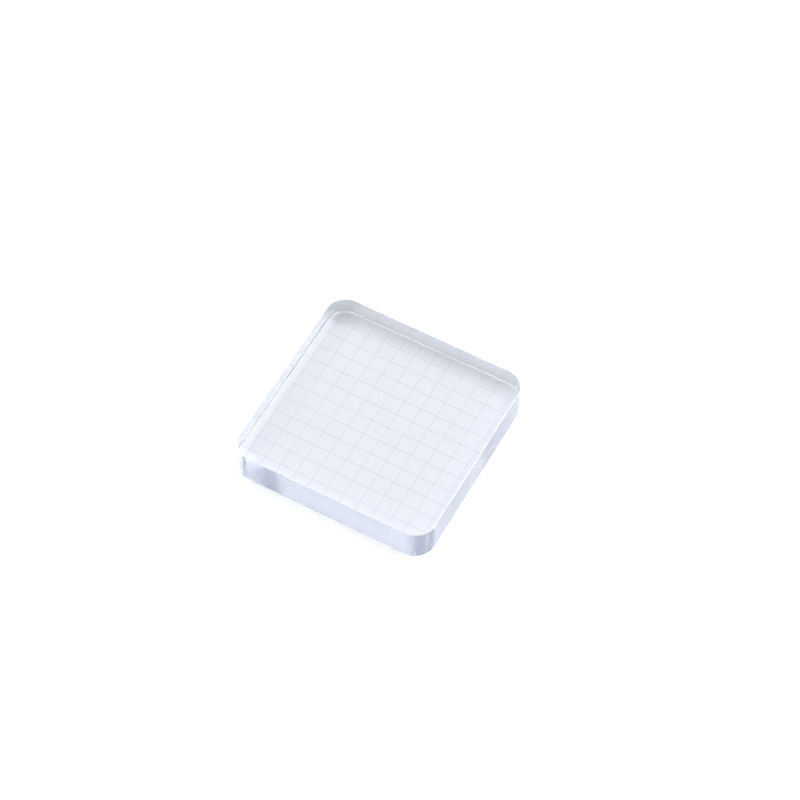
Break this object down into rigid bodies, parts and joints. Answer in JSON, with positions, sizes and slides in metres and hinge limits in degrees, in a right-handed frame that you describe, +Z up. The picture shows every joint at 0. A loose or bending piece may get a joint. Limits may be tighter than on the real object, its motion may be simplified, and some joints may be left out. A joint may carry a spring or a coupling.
{
  "type": "gridded glass block",
  "caption": "Solid square clear glass block with rounded corners and polished edges; a fine square grid ruled in its underside and paint-filled is read through the glass.",
  "frame": {"origin": "middle of the underside, on the plane the block rests on", "axes": "+Z up through the thickness; +X along the front wall to the right; +Y from the front wall to the back wall"},
  "size_m": [0.0612, 0.0612, 0.0109],
  "materials": {
    "clear_glass": "polished, very faintly cool",
    "rule_paint": "thin very pale grey paint wiped into fine ruled grooves"
  },
  "bodies": {
    "root": {"glass_block": "clear_glass", "lengthwise_rule_01": "rule_paint", "lengthwise_rule_02": "rule_paint", "lengthwise_rule_03": "rule_paint", "lengthwise_rule_04": "rule_paint", "lengthwise_rule_05": "rule_paint", "lengthwise_rule_06": "rule_paint", "lengthwise_rule_07": "rule_paint", "lengthwise_rule_08": "rule_paint", "lengthwise_rule_09": "rule_paint", "lengthwise_rule_10": "rule_paint", "lengthwise_rule_11": "rule_paint", "lengthwise_rule_12": "rule_paint", "crosswise_rule_01": "rule_paint", "crosswise_rule_02": "rule_paint", "crosswise_rule_03": "rule_paint", "crosswise_rule_04": "rule_paint", "crosswise_rule_05": "rule_paint", "crosswise_rule_06": "rule_paint", "crosswise_rule_07": "rule_paint", "crosswise_rule_08": "rule_paint", "crosswise_rule_09": "rule_paint", "crosswise_rule_10": "rule_paint", "crosswise_rule_11": "rule_paint", "crosswise_rule_12": "rule_paint"}
  },
  "joints": []
}
